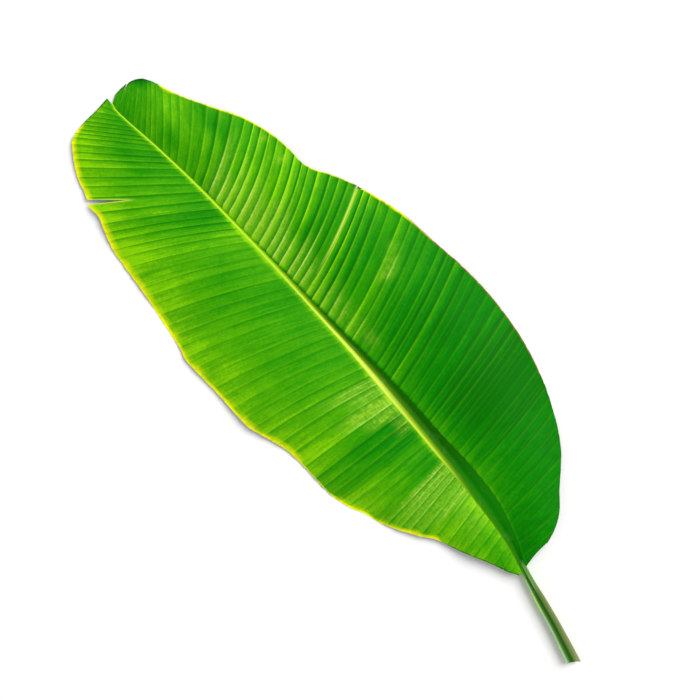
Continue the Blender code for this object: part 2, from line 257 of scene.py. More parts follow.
def smooth(points, x):
    """A smooth curve through the points, which never overshoots them, read at x."""
    px, py = np.array(points, float).T
    x = np.clip(np.asarray(x, float), px[0], px[-1])
    chord = np.diff(py) / np.diff(px)
    slope = np.zeros(len(px))
    slope[0], slope[-1] = chord[0], chord[-1]
    before, after = chord[:-1], chord[1:]
    same = before * after > 0
    slope[1:-1] = np.where(same, 2 * before * after / np.where(same, before + after, 1.0), 0.0)
    i = np.clip(np.searchsorted(px, x, side="right") - 1, 0, len(px) - 2)
    width = px[i + 1] - px[i]
    t = (x - px[i]) / width
    return (
        py[i] * (1 + 2 * t) * (1 - t) ** 2
        + slope[i] * width * t * (1 - t) ** 2
        + py[i + 1] * t * t * (3 - 2 * t)
        + slope[i + 1] * width * t * t * (t - 1)
    )


def step_up(low, high, x):
    """0 at low, 1 at high, and smooth between. It falls where low is over high."""
    t = np.clip((x - low) / (high - low), 0, 1)
    return t * t * (3 - 2 * t)


def between(low, high, x, rise, fall):
    """1 from low to high and 0 outside, with soft ends."""
    return step_up(low - rise, low + rise, x) * (1 - step_up(high - fall, high + fall, x))


def hill(x, y, centre_x, centre_y, long, wide):
    """1 at the centre and less and less around it."""
    return np.exp(-((x - centre_x) / long) ** 2 - ((y - centre_y) / wide) ** 2)


def wander(seed, x, length):
    """Smooth random values from -1 to 1, a new one at each length of x."""
    table = np.random.RandomState(seed).uniform(-1, 1, 1024)
    t = np.asarray(x) / length
    i = np.floor(t).astype(int)
    f = t - i
    f = f * f * (3 - 2 * f)
    return table[i % 1024] * (1 - f) + table[(i + 1) % 1024] * f


def arch(s, start, inner, outer, end):
    """A cubic curve from start to end, which the inner and outer values pull up or down."""
    r = 1 - s
    return start * r ** 3 + 3 * inner * s * r * r + 3 * outer * s * s * r + end * s ** 3


def pleats_of(half):
    """X of the raised veins at the midrib, and random values for each vein and each pleat."""
    draw = np.random.RandomState(half.seed)
    xs = [BLADE_START]
    while True:
        pitch = float(smooth(PLEAT_PITCH, xs[-1])) * draw.uniform(1 - PITCH_JITTER, 1 + PITCH_JITTER)
        if xs[-1] + pitch > MIDRIB_END - LAST_PLEAT:
            break
        xs.append(xs[-1] + pitch)
    xs.append(MIDRIB_END)
    return np.array(xs), draw.uniform(*VEIN_STRENGTHS, len(xs)), draw.uniform(0, 1, (4, len(xs)))


def closed_sheet(name, top, bottom, quads, values):
    """A closed mesh of an upper and a lower layer of the same faces, walled along their edges."""
    count = len(top)
    faces = [tuple(q) for q in quads]
    faces += [tuple(v + count for v in reversed(q)) for q in quads]
    edges = {(a, b) for q in quads for a, b in zip(q, q[1:] + q[:1])}
    for a, b in sorted(edges):
        if (b, a) not in edges:
            faces.append((b, a, a + count, b + count))
    values = {key: np.concatenate([value, value]) for key, value in values.items()}
    values["under"] = np.repeat([0.0, 1.0], count)
    return finish_mesh(name, np.vstack([top, bottom]), faces, values)


def finish_mesh(name, points, faces, values):
    """An object of the points, shifted to the part's place, with the values as attributes."""
    shift = np.array([cad_low.x - LEAF_LOW_X, cad_low.y - LEAF_LOW_Y, cad_low.z])
    mesh = bpy.data.meshes.new(name)
    mesh.from_pydata((points + shift).tolist(), [], faces)
    for key, value in values.items():
        attribute = mesh.attributes.new(key, "FLOAT", "POINT")
        attribute.data.foreach_set("value", np.asarray(value, np.float32))
    mesh.shade_smooth()
    mesh.set_sharp_from_angle(angle=math.radians(SHARP_ANGLE))
    mesh.validate()
    piece = bpy.data.objects.new(name, mesh)
    bpy.context.scene.collection.objects.link(piece)
    return piece


# Where the surface is painted paler with a sheen, a painted reflection: side, x from and to, how far
# out it reaches, strength
PAINTED_SHEEN_PATCHES = (
    (1, 0.270, 0.330, 0.080, 0.50), (1, 0.330, 0.394, 0.150, 0.94), (1, 0.468, 0.502, 0.045, 0.60),
    (1, 0.502, 0.576, 0.105, 0.92), (-1, 0.640, 0.780, 0.065, 0.85), (-1, 0.780, 0.990, 0.110, 1.35),
)
# Small pale marks, painted with the sheen's colour: side, x, y, reach along x and along y, strength
SPOTS = (
    (1, 0.546, 0.002, 0.018, 0.006, 0.7), (-1, 0.690, -0.174, 0.009, 0.016, 0.75),
    (-1, 0.701, -0.192, 0.010, 0.012, 0.50), (-1, 0.716, -0.208, 0.010, 0.010, 0.35),
    (-1, 0.946, -0.161, 0.005, 0.008, 0.9), (-1, 0.992, -0.159, 0.005, 0.007, 0.8),
    (-1, 0.892, -0.095, 0.012, 0.020, 0.5), (-1, 0.625, -0.085, 0.016, 0.010, 0.35),
)
# Lighter and deeper marks: side, x, y, reach along x and along y, change of tone
MARKS = (
    (-1, 1.198, -0.068, 0.013, 0.012, -0.55), (-1, 1.090, -0.042, 0.022, 0.014, -0.22),
    (-1, 1.060, -0.112, 0.034, 0.014, -0.28), (-1, 1.120, -0.070, 0.050, 0.022, 0.10),
    (-1, 0.455, -0.150, 0.025, 0.070, -0.08), (1, 1.130, 0.030, 0.045, 0.022, -0.14),
    (1, 0.845, 0.055, 0.040, 0.048, -0.22), (-1, 0.790, -0.235, 0.050, 0.022, 0.18),
    (1, 0.655, 0.050, 0.040, 0.060, -0.10), (1, 1.045, 0.085, 0.040, 0.035, -0.14),
    (1, 1.160, 0.078, 0.025, 0.020, 0.14),
)
# Pleats painted lighter or deeper than those beside them, painted light and shade of the blade's slow
# rises and falls: side, x from and to, change of tone
ZONES = (
    (1, 0.448, 0.498, -0.19), (1, 0.506, 0.558, 0.05), (1, 0.640, 0.668, -0.05),
    (1, 0.868, 0.905, 0.06), (1, 0.915, 0.955, -0.10), (1, 1.060, 1.085, -0.08),
    (-1, 0.560, 0.585, -0.08), (-1, 0.640, 0.665, 0.10), (-1, 0.700, 0.722, -0.10),
)
# How light the green is, from 0, deep, to 1, lime, beside the midrib and at the margin: partly the
# leaf's own green and partly painted light and shade, halves and bands lighter or darker as the light
# fell on them
LEFT_INNER_TONE = (
    (0.17, 0.46), (0.24, 0.50), (0.33, 0.60), (0.42, 0.42), (0.50, 0.40), (0.54, 0.56),
    (0.59, 0.52), (0.75, 0.50), (0.85, 0.66), (0.90, 0.64), (0.95, 0.46), (1.05, 0.54), (1.20, 0.52),
)
LEFT_OUTER_TONE = (
    (0.17, 0.60), (0.30, 0.84), (0.35, 0.78), (0.41, 0.92), (0.455, 0.94), (0.50, 0.92), (0.60, 0.86),
    (0.68, 0.80), (0.80, 0.94), (0.92, 0.94), (1.05, 1.05), (1.20, 0.92),
)
RIGHT_INNER_TONE = (
    (0.17, 0.10), (0.25, 0.24), (0.32, 0.44), (0.42, 0.54), (0.60, 0.62), (0.68, 0.60), (0.76, 0.78),
    (0.90, 0.86), (0.95, 0.80), (0.99, 0.58), (1.20, 0.54),
)
RIGHT_OUTER_TONE = (
    (0.17, 0.30), (0.25, 0.12), (0.44, 0.00), (0.48, 0.04), (0.53, 0.22), (0.60, 0.22),
    (0.67, 0.36), (0.75, 0.33), (0.82, 0.42), (0.88, 0.64), (0.95, 0.74), (1.03, 0.60), (1.20, 0.58),
)
INNER_TONE_REACH = 0.040  # the right half's inner tone fades out over this distance
LEFT_YELLOW = (
    (0.17, 0.0), (0.290, 0.0), (0.305, 0.006), (0.325, 0.006), (0.36, 0.0040), (0.45, 0.0042),
    (0.475, 0.0014), (0.535, 0.0014), (0.55, 0.007), (0.60, 0.0065), (0.70, 0.0060),
    (0.90, 0.0062), (1.05, 0.0065), (1.196, 0.0065), (1.2025, 0.0),
)
RIGHT_YELLOW = (
    (0.17, 0.0), (0.66, 0.0), (0.70, 0.0016), (0.76, 0.0028), (0.80, 0.0026), (0.84, 0.0010),
    (0.95, 0.0012), (1.05, 0.0018), (1.12, 0.0012), (1.16, 0.0028), (1.175, 0.0),
)
RIGHT_DRY = ((0.17, 0.0), (0.36, 0.0), (0.42, 0.0016), (0.72, 0.0016), (0.76, 0.0), (1.20, 0.0))
# Width of the dark green rim
LEFT_RIM = ((0.17, 0.0024), (0.27, 0.0016), (0.295, 0.0), (1.199, 0.0), (1.203, 0.003), (1.21, 0.005))
RIGHT_RIM = (
    (0.17, 0.0035), (0.21, 0.0020), (0.36, 0.0), (0.822, 0.0), (0.829, 0.0045), (0.836, 0.0045),
    (0.842, 0.0), (1.165, 0.0), (1.19, 0.004), (1.21, 0.006),
)
CREASE_X = 0.7535  # a pale crease runs along this vein of the right half
CREASE_WIDTH = 0.0022
# Strength of the pleats' painted light and shade, by x
LEFT_CONTRAST = (
    (0.17, 0.5), (0.40, 1.0), (0.57, 0.9), (0.62, 0.5), (0.86, 0.6), (0.94, 1.2), (1.15, 1.5),
    (1.20, 1.0),
)
RIGHT_CONTRAST = (
    (0.17, 0.2), (0.40, 0.5), (0.50, 1.0), (0.66, 1.1), (0.74, 1.9), (0.97, 1.9), (1.02, 0.6),
    (1.20, 0.4),
)
# Painted light and shade across a pleat, in changes of tone: from one side to the other, at its dark
# foot and at its light crest
LEFT_SLOPE, LEFT_FOOT = -0.14, -0.16
RIGHT_SLOPE, RIGHT_FOOT, RIGHT_CREST = 0.22, -0.14, 0.08
# Painted light and shade beside the midrib: between which two x they set in, their size and their
# reach
LIP_PAINTED_LIGHT = (0.36, 0.42, 0.38, 0.0045)  # painted light beside the channel's bright lip
BASE_PAINTED_LIGHT = (0.36, 0.30, 0.26, 0.016)  # painted light on the left half's base
ROLL_PAINTED_LIGHT = (0.36, 0.30, 0.18, 0.003)  # painted light on the right half's rolled edge at the base
ROLL_SHADE = (0.40, 0.55, -0.45, 0.0026)  # painted shade on the same edge from there on
ROLL_SHADE_END = (0.90, 0.80)
TONE_WANDER, TONE_WANDER_LENGTH, TONE_DRIFT = 0.06, 0.055, 0.02
PLEAT_TONE = 0.10  # how much the pleats differ in tone
OUTER_POWER = 1.7  # the left half's tone changes mostly near its margin
UNEVEN, UNEVEN_LENGTH = 0.3, 0.016  # how the margin's bands change in width
LEAST_BAND = 0.0003
ZONE_SOFT, PAINTED_SHEEN_SOFT = (0.005, 0.004), (0.003, 0.003)  # half lengths of the soft ends
PAINTED_SHEEN_GAP = 0.003  # the right half's painted sheen starts about this far from the midrib
MIDDLE_LINE = 0.5  # strength of the line in the middle of a pleat


def beside_midrib(change, x, d):
    start, full, size, reach = change
    return size * step_up(start, full, x) * np.exp(-(d / reach) ** 2)


def blade_tone(half, rows, px, py, s, d):
    """How light the green is, from 0, deep, to 1, lime: partly the leaf's own green and partly
    painted light and shade.
    """
    x, u, chance = rows.x, rows.u, rows.chances[3]
    if half.side > 0:
        inner, outer = smooth(LEFT_INNER_TONE, px), smooth(LEFT_OUTER_TONE, px)
        tone = inner + (outer - inner) * s ** OUTER_POWER
        tone = tone + beside_midrib(LIP_PAINTED_LIGHT, x, d) + beside_midrib(BASE_PAINTED_LIGHT, x, d)
        # painted light and shade across each pleat
        lean = LEFT_SLOPE * (u - 0.5) + LEFT_FOOT * step_up(0.72, 0.97, u)
        contrast = smooth(LEFT_CONTRAST, x) * (0.35 + 1.1 * chance)
    else:
        inner, outer = smooth(RIGHT_INNER_TONE, px), smooth(RIGHT_OUTER_TONE, px)
        tone = outer + (inner - outer) * np.exp(-d / INNER_TONE_REACH)
        tone = tone + beside_midrib(ROLL_PAINTED_LIGHT, x, d)
        tone = tone + beside_midrib(ROLL_SHADE, x, d) * step_up(*ROLL_SHADE_END, x)
        # painted light and shade across each pleat
        lean = RIGHT_SLOPE * (u - 0.5) + RIGHT_FOOT * (1 - step_up(0.03, 0.30, u))
        lean = lean + RIGHT_CREST * step_up(0.75, 0.95, u)
        contrast = smooth(RIGHT_CONTRAST, x) * (0.5 + chance)
    zones = TONE_WANDER * wander(half.seed + 1, x + TONE_DRIFT * s, TONE_WANDER_LENGTH)
    for side, x_from, x_to, change in ZONES:
        if side == half.side:
            zones = zones + change * between(x_from, x_to, x, *ZONE_SOFT)
    for side, mark_x, mark_y, long, wide, change in MARKS:
        if side == half.side:
            zones = zones + change * hill(px, py, mark_x, mark_y, long, wide)
    return tone + zones + lean * contrast + PLEAT_TONE * (chance - 0.5)


def margin_band(widths, px, margin_d, softness):
    """1 at the margin and 0 farther in than the band's width there."""
    width = smooth(widths, px)
    share = np.clip(1 + softness - margin_d / np.maximum(width, LEAST_BAND), 0, 1)
    return np.where(width > LEAST_BAND, share, 0)


def blade_painted_sheen_and_spots(half, rows, px, py, d):
    """How strong the painted sheen is, a painted reflection in streaks that start at the midrib, and
    pale marks.
    """
    painted_sheen_and_spots = np.zeros_like(px)
    for side, x_from, x_to, reach, strong in PAINTED_SHEEN_PATCHES:
        if side == half.side:
            length = reach * (0.5 + 0.6 * rows.chances[1])
            streak = 0.5 + 0.5 * rows.chances[2]
            streak = streak * (1 - step_up(0.45 * length, 1.15 * length, d))
            painted_sheen_and_spots = np.maximum(painted_sheen_and_spots, strong * between(x_from, x_to, rows.x, *PAINTED_SHEEN_SOFT) * streak)
    if half.side < 0:
        crest = np.maximum(step_up(0.30, 0.90, rows.u), 1 - step_up(0.0, 0.08, rows.u))
        painted_sheen_and_spots = painted_sheen_and_spots * (0.15 + 0.85 * crest)
        painted_sheen_and_spots = painted_sheen_and_spots * (1 - np.exp(-(d / PAINTED_SHEEN_GAP) ** 2))
    else:
        painted_sheen_and_spots = painted_sheen_and_spots * (1 - 0.65 * step_up(0.66, 0.92, rows.u))
    for side, spot_x, spot_y, long, wide, strong in SPOTS:
        if side == half.side:
            painted_sheen_and_spots = np.maximum(painted_sheen_and_spots, strong * hill(px, py, spot_x, spot_y, long, wide))
    return painted_sheen_and_spots


def blade_crease(half, rows, s):
    """The pale crease of the right half, and the pale edges of a long tear."""
    crease = np.zeros((len(rows.x), s.shape[1]))
    if half.side < 0:
        crease_x = rows.x[nearest_row(rows, CREASE_X), 0]
        crease = np.exp(-((rows.x - crease_x) / CREASE_WIDTH) ** 2) * step_up(0.1, 0.6, s)
    for tear in tears_of(half):
        if tear.drop > 0:
            tear_x = rows.x[nearest_row(rows, tear.x), 0]
            torn = np.exp(-((rows.x - tear_x) / TORN_WIDTH) ** 2)
            torn = torn * step_up(tear.start - 0.10, tear.start + 0.06, s)
            crease = np.maximum(crease, torn)
    return crease


def blade_lines(half, rows):
    """Strength of the pale line along each raised vein, and of a weaker one between two veins."""
    from_vein = rows.pitch * np.minimum(rows.u, 1 - rows.u)
    from_middle = rows.pitch * np.abs(rows.u - 0.5)
    line = np.exp(-(from_vein / LINE_WIDTH) ** 2) * np.clip(2.0 * (rows.heights - 0.45), 0.15, 1)
    line = line + MIDDLE_LINE * rows.second * np.exp(-(from_middle / (0.7 * LINE_WIDTH)) ** 2)
    return np.clip(line * (0.2 + 0.8 * smooth(half.relief, rows.x)), 0, 1)


def blade_values(half, rows, px, py, s, width):
    """What the paint reads at each point, as grids of the points' shape."""
    d = s * width
    margin_d = (1 - s) * width
    uneven = margin_d / (1 + UNEVEN * wander(half.seed + 5, px, UNEVEN_LENGTH))
    nowhere = np.zeros_like(px)
    return {
        "tone": blade_tone(half, rows, px, py, s, d),
        "line": blade_lines(half, rows) + nowhere,
        "painted_sheen_and_spots": blade_painted_sheen_and_spots(half, rows, px, py, d),
        "yellow": margin_band(LEFT_YELLOW if half.side > 0 else RIGHT_YELLOW, px, uneven, 0.35),
        "dry": nowhere if half.side > 0 else margin_band(RIGHT_DRY, px, margin_d, 0.3),
        "rim": margin_band(LEFT_RIM if half.side > 0 else RIGHT_RIM, px, uneven, 0.2),
        "crease": blade_crease(half, rows, s),
        "vein": rows.pleat + rows.u + nowhere,
        "out": s,
    }


def rows_of(half):
    """The blade's rows of points, each of them along one line from the midrib to the margin."""
    ridges, strength, chance = pleats_of(half)
    count = len(ridges) - 1
    pleat = np.append(np.repeat(np.arange(count), len(PLEAT_STEPS)), count - 1)
    u = np.append(np.tile(PLEAT_STEPS, count), 1.0)[:, None]
    pitch = (ridges[pleat + 1] - ridges[pleat])[:, None]
    x = ridges[pleat][:, None] + u * pitch
    heights = strength[pleat][:, None] * (1 - u) + strength[pleat + 1][:, None] * u
    chances = chance[:, pleat, None]
    second = np.clip(FOLD_GAIN * chances[0] - FOLD_LEAST, 0, 1)
    return Rows(pleat[:, None], u, x, pitch, heights, second, chances)


def blade_top(half, rows, s, d, lip_z, across):
    """Height of the blade's upper side, with its ripple, swell and pleats."""
    u, x = rows.u, rows.x
    relief = np.minimum(1.0, across / FULL_RELIEF_WIDTH)
    ripple = s * s * np.sin(2 * math.pi * x / RIPPLE_LENGTH + half.side)
    swell = SWELL_RISE * wander(half.seed + 4, x + VEIN_DRIFT * s, SWELL_LENGTH) * np.sin(math.pi * s)
    bowl = 2 * (2 * u - 1) ** 2 - 1
    half_bowl = 2 * (2 * np.mod(2 * u, 1.0) - 1) ** 2 - 2
    folds = PLEAT_RISE * rows.heights * bowl + HALF_PLEAT_RISE * rows.second * half_bowl
    rib = np.where(u == 0, 1.0, 0.0) + np.where(u == 0.5, MIDDLE_RIB * rows.second, 0.0)
    fade = np.minimum(1.0, d / PLEAT_START) * (1 - PLEAT_FADE * s) * smooth(half.relief, x)
    margin_z = smooth(half.margin_z, x) + MARGIN_THICKNESS
    bow = arch(s, lip_z, smooth(half.inner_z, x), smooth(half.outer_z, x), margin_z)
    return bow + relief * (RIPPLE_RISE * ripple + swell + fade * folds) + RIB_RISE * rib * fade


def tears_of(half):
    return [tear for tear in TEARS if tear.side == half.side]


def nearest_row(rows, x):
    return int(np.argmin(np.abs(rows.x[:, 0] - x)))


def drawn_aside(half, rows, s):
    """How far the blade moves beside its tears, along X and Y, and how each tear parts its row."""
    aside, back = np.zeros((2, len(rows.x), s.shape[1]))
    partings = []
    for tear in tears_of(half):
        row = nearest_row(rows, tear.x)
        share = np.clip((s - tear.start) / (1 - tear.start), 0, 1)
        near = np.clip(1 - np.abs(rows.x - rows.x[row]) / TEAR_SPREAD, 0, 1)
        tip_side = np.arange(len(rows.x))[:, None] > row
        aside += np.where(tip_side, 0.5, -0.5) * tear.gap * near * share
        back -= np.where(tip_side, half.side * tear.drop, 0.0) * near * share
        partings.append((row, tear.gap * share[0], -half.side * tear.drop * share[0]))
    return aside, back, partings


def rolled_edge(half, rows, lip_y, inner_z):
    """Y and Z of the blade's inner edge, which rolls down over the channel's lip."""
    angles = np.radians(ROLL_ANGLES)
    inward, down = half.roll
    scale = np.minimum(1.0, smooth(half.width, rows.x) / ROLL_FULL_WIDTH)
    fullness = ROLL_AT_VEIN + (1 - ROLL_AT_VEIN) * np.sin(math.pi * rows.u)
    y = lip_y - half.side * inward * scale * fullness * np.sin(angles)
    return y, inner_z - down * scale * (1 - np.cos(angles))


def blade_half(name, half):
    """One half of the blade, from its rolled inner edge to the margin."""
    rows = rows_of(half)
    x = rows.x
    even = np.linspace(0, 1, OUT_STEPS) ** OUT_SPREAD * MARGIN_STEPS[0]
    s = np.concatenate([even[:-1], MARGIN_STEPS])[None, :]

    lip_y = smooth(CHANNEL_Y, x) + half.side * smooth(half.width, x)
    margin_x, margin_y = smooth(half.margin_x, x), smooth(half.margin_y, x)
    width = np.hypot(margin_x - x, margin_y - lip_y)
    wear = wander(half.seed + 2, margin_x, WEAR_LENGTH)
    wear = wear + FINE_WEAR * wander(half.seed + 3, margin_x, FINE_WEAR_LENGTH)
    margin_y = margin_y - half.side * (MARGIN_WEAR * np.clip(wear, 0, 1) + MARGIN_INSET)

    thickness = BLADE_THICKNESS + (MARGIN_THICKNESS - BLADE_THICKNESS) * s
    top = blade_top(half, rows, s, s * width, smooth(half.lip_z, x), np.abs(margin_y - lip_y))
    bottom = np.maximum(0.0, top - thickness)
    top = bottom + thickness
    bow = smooth(half.bow, x)
    aside, back, partings = drawn_aside(half, rows, s)
    px = x + (margin_x - x) * (s * (1 - bow) + bow * s * s) + aside
    py = lip_y + (margin_y - lip_y) * s + back

    roll_y, roll_z = rolled_edge(half, rows, lip_y, top[:, :1])
    px = np.hstack([np.repeat(x, ROLLED, axis=1), px])
    py = np.hstack([roll_y, py])
    top = np.hstack([roll_z, top])
    bottom = np.hstack([np.maximum(0.0, roll_z - BLADE_THICKNESS), bottom])
    s = np.hstack([np.zeros((1, ROLLED)), s]) + 0 * px

    values = {key: grid.reshape(-1) for key, grid in
              blade_values(half, rows, px, py, s, width).items()}
    top_points = np.stack([px, py, top], -1).reshape(-1, 3)
    bottom_points = np.stack([px, py, bottom], -1).reshape(-1, 3)

    # each tear's row of points is doubled, for its two edges
    index = np.arange(px.size).reshape(px.shape)
    after = index.copy()
    source, moved = [], []
    for row, gape, drop in partings:
        for col in np.flatnonzero(gape > 0):
            after[row, col + ROLLED] = px.size + len(source)
            source.append(index[row, col + ROLLED])
            moved.append((gape[col], drop[col], 0.0))
    top_points = np.vstack([top_points, top_points[source] + moved])
    bottom_points = np.vstack([bottom_points, bottom_points[source] + moved])
    values = {key: np.concatenate([value, value[source]]) for key, value in values.items()}
    quads = []
    for row in range(px.shape[0] - 1):
        a, b = after[row].tolist(), index[row + 1].tolist()
        for col in range(px.shape[1] - 1):
            quad = (a[col], b[col], b[col + 1], a[col + 1])
            quads.append(quad if half.side > 0 else quad[::-1])
    return closed_sheet(name, top_points, bottom_points, quads, values)


def channel_profile(x, across, middle, in_blade):
    """Y, upper Z and lower Z at each x, for each place across, from 1, left, to -1, right."""
    floor = smooth(FLOOR_Z, x)
    left_width = smooth(LEFT_WIDTH, x)
    ys, tops, bottoms = [], [], []
    for t in across:
        if t >= 0:
            width, lip, rise = left_width, smooth(LEFT_LIP_Z, x), LEFT_WALL_RISE
            flat = FLAT_SHARE + 0 * x
            bend = LEFT_WALL_SHARE + 0 * x
        else:
            width, lip, rise = smooth(RIGHT_WIDTH, x), smooth(RIGHT_LIP_Z, x), RIGHT_WALL_RISE
            flat = FLAT_SHARE * left_width / width
            bend = flat + RIGHT_WALL_SHARE * (1 - flat)
        lip = lip - LIP_GAP * in_blade
        r = abs(t)
        low = np.clip((r - flat) / (bend - flat), 0, 1)
        high = np.clip((r - bend) / (1 - bend), 0, 1)
        soft_low = low * low * (2 - low) if t >= 0 else low ** 1.5
        under = KEEL_BULGE * floor
        ys.append(middle + math.copysign(1, t) * (width * r - LIP_GAP * in_blade * (r == 1)))
        tops.append(floor + (lip - floor) * (rise * soft_low + (1 - rise) * high))
        bottoms.append(under * low ** 2 + (lip - BLADE_THICKNESS - under) * high)
    return np.hstack(ys), np.hstack(tops), np.hstack(bottoms)


def tube_faces(size):
    """The tube's sides, ring by ring, then its cut end and its tip, all facing outwards."""
    faces = []
    for row in range(MIDRIB_ROWS - 1):
        for k in range(size):
            a, b = row * size + k, row * size + (k + 1) % size
            faces.append((b, b + size, a + size, a))
    columns = MIDRIB_COLUMNS
    for base, turn in ((0, False), ((MIDRIB_ROWS - 1) * size, True)):
        end = []
        for k in range(columns - 1):
            a, b = base + k, base + 2 * columns - 1 - k
            end.append((a, a + 1, b, b + 1))
        end.append((base + columns - 1, base + columns, base + columns + 1))
        end.append((base, base + 2 * columns, base + 2 * columns + 1))
        faces += [face if turn else face[::-1] for face in end]
    return faces


def petiole_and_midrib(name):
    """The petiole and the midrib: a channel above and a keel below, in one closed tube."""
    x = np.linspace(0, 1, MIDRIB_ROWS)[:, None] * MIDRIB_END
    across = np.linspace(1, -1, MIDRIB_COLUMNS)
    middle = smooth(CHANNEL_Y, x)
    in_blade = step_up(BLADE_START - BLADE_SET_IN, BLADE_START + BLADE_SET_IN, x)
    y, top, bottom = channel_profile(x, across, middle, in_blade)
    slant = CUT_SLANT * np.clip(1 - x / CUT_SLANT_LENGTH, 0, 1)
    px = x + slant * (y - middle)
    rounding = EDGE_ROUNDING * (1 - in_blade[:, 0])
    middle_z = (top + bottom) / 2
    left_edge = np.stack([px[:, 0], y[:, 0] + rounding, middle_z[:, 0]], -1)
    right_edge = np.stack([px[:, -1], y[:, -1] - rounding, middle_z[:, -1]], -1)
    upper = np.stack([px, y, top], -1)
    lower = np.stack([px, y, bottom], -1)[:, ::-1]
    ring = np.concatenate([upper, right_edge[:, None], lower, left_edge[:, None]], 1)
    size = ring.shape[1]
    cross = np.concatenate([across, [-1.0], across[::-1], [1.0]])
    under = np.concatenate([np.zeros(MIDRIB_COLUMNS), [0.5], np.ones(MIDRIB_COLUMNS), [0.5]])
    values = {
        "cross": np.tile(cross, MIDRIB_ROWS),
        "under": np.tile(under, MIDRIB_ROWS),
        "along": np.repeat(x[:, 0], size),
    }
    piece = finish_mesh(name, ring.reshape(-1, 3), tube_faces(size), values)
    return piece, (MIDRIB_ROWS - 1) * size


# Materials

def rgb(red, green, blue):
    """Linear colour of an 8-bit one."""
    linear = []
    for channel in (red, green, blue):
        c = channel / 255
        linear.append(c / 12.92 if channel <= 10 else ((c + 0.055) / 1.055) ** 2.4)
    return (*linear, 1.0)


class Paint:
    """A material's nodes, built from the shader back."""

    def __init__(self, name):
        self.material = bpy.data.materials.new(name)
        self.material.use_nodes = True
        self.tree = self.material.node_tree
        self.shader = self.tree.nodes["Principled BSDF"]

    def feed(self, socket, value):
        if isinstance(value, bpy.types.NodeSocket):
            self.tree.links.new(value, socket)
        else:
            socket.default_value = value

    def value(self, name):
        node = self.tree.nodes.new("ShaderNodeAttribute")
        node.attribute_type = "GEOMETRY"
        node.attribute_name = name
        return node.outputs["Fac"]

    def math(self, operation, *values, clamp=False):
        node = self.tree.nodes.new("ShaderNodeMath")
        node.operation = operation
        node.use_clamp = clamp
        for socket, value in zip(node.inputs, values):
            self.feed(socket, value)
        return node.outputs[0]

    def times(self, first, second, clamp=False):
        return self.math("MULTIPLY", first, second, clamp=clamp)

    def plus(self, first, second, clamp=False):
        return self.math("ADD", first, second, clamp=clamp)

    def around(self, noise, size):
        """The noise, moved to vary around 0 by the given size."""
        return self.times(self.math("SUBTRACT", noise, 0.5), size)

    def span(self, value, low, high, out_low=0.0, out_high=1.0):
        node = self.tree.nodes.new("ShaderNodeMapRange")
        node.interpolation_type = "SMOOTHSTEP"
        for key, given in (("Value", value), ("From Min", low), ("From Max", high),
                           ("To Min", out_low), ("To Max", out_high)):
            self.feed(node.inputs[key], given)
        return node.outputs["Result"]

    def vector(self, x, y, z):
        node = self.tree.nodes.new("ShaderNodeCombineXYZ")
        for socket, value in zip(node.inputs, (x, y, z)):
            self.feed(socket, value)
        return node.outputs[0]

    def place(self):
        return self.tree.nodes.new("ShaderNodeTexCoord").outputs["Object"]

    def noise(self, vector, scale, detail=3.0, roughness=0.55):
        node = self.tree.nodes.new("ShaderNodeTexNoise")
        self.feed(node.inputs["Vector"], vector)
        node.inputs["Scale"].default_value = scale
        node.inputs["Detail"].default_value = detail
        node.inputs["Roughness"].default_value = roughness
        return node.outputs["Fac"]

    def cells(self, vector, scale):
        node = self.tree.nodes.new("ShaderNodeTexVoronoi")
        node.feature = "F1"
        self.feed(node.inputs["Vector"], vector)
        node.inputs["Scale"].default_value = scale
        return node.outputs["Distance"]

    def mix(self, factor, first, second):
        node = self.tree.nodes.new("ShaderNodeMix")
        node.data_type = "RGBA"
        node.clamp_factor = True
        self.feed(node.inputs[0], factor)
        self.feed(node.inputs[6], first)
        self.feed(node.inputs[7], second)
        return node.outputs[2]

    def ramp(self, value, *stops):
        node = self.tree.nodes.new("ShaderNodeValToRGB")
        elements = node.color_ramp.elements
        while len(elements) < len(stops):
            elements.new(0.5)
        for element, (position, colour) in zip(elements, stops):
            element.position = position
            element.color = colour
        self.feed(node.inputs[0], value)
        return node.outputs["Color"]

    def bump(self, height, strength, distance):
        node = self.tree.nodes.new("ShaderNodeBump")
        node.inputs["Strength"].default_value = strength
        node.inputs["Distance"].default_value = distance
        self.feed(node.inputs["Height"], height)
        return node.outputs["Normal"]

    def surface(self, colour, roughness, normal, specular):
        self.feed(self.shader.inputs["Base Color"], colour)
        self.feed(self.shader.inputs["Roughness"], roughness)
        self.feed(self.shader.inputs["Normal"], normal)
        self.shader.inputs["Specular IOR Level"].default_value = specular
        self.shader.inputs["Metallic"].default_value = 0.0
        return self.material


DEEP = rgb(0, 106, 0)
DARK = rgb(5, 126, 0)
MID = rgb(44, 146, 0)
LIGHT = rgb(82, 168, 2)
LIME = rgb(132, 206, 4)
PALE_VEIN = rgb(160, 220, 44)
# Pale colours of the painted sheen, a painted reflection, and of the veins in it, painted whiter as a
# painted highlight
PAINTED_SHEEN_COLOUR = rgb(160, 204, 52)
PAINTED_SHEEN_VEIN = rgb(214, 242, 140)
YELLOW = rgb(246, 244, 20)
TAN = rgb(150, 90, 34)
RIM = rgb(6, 62, 6)
CREASE = rgb(216, 246, 90)
UNDER_GREEN = rgb(122, 158, 84)
UNDER_DEEP = rgb(92, 136, 58)
UNDER_VEIN = rgb(176, 198, 132)
UNDER_FINE_VEIN = rgb(150, 182, 110)
FLOOR_SHADES = (0.90, 0.90, 0.895, 1.0), (0.94, 0.94, 0.94, 1.0)
FINE_VEINS = 17.0  # fine parallel veins in one pleat
BLADE_SHEEN, MIDRIB_SHEEN, CUT_SHEEN, FLOOR_SHEEN = 0.035, 0.06, 0.25, 0.1  # specular levels


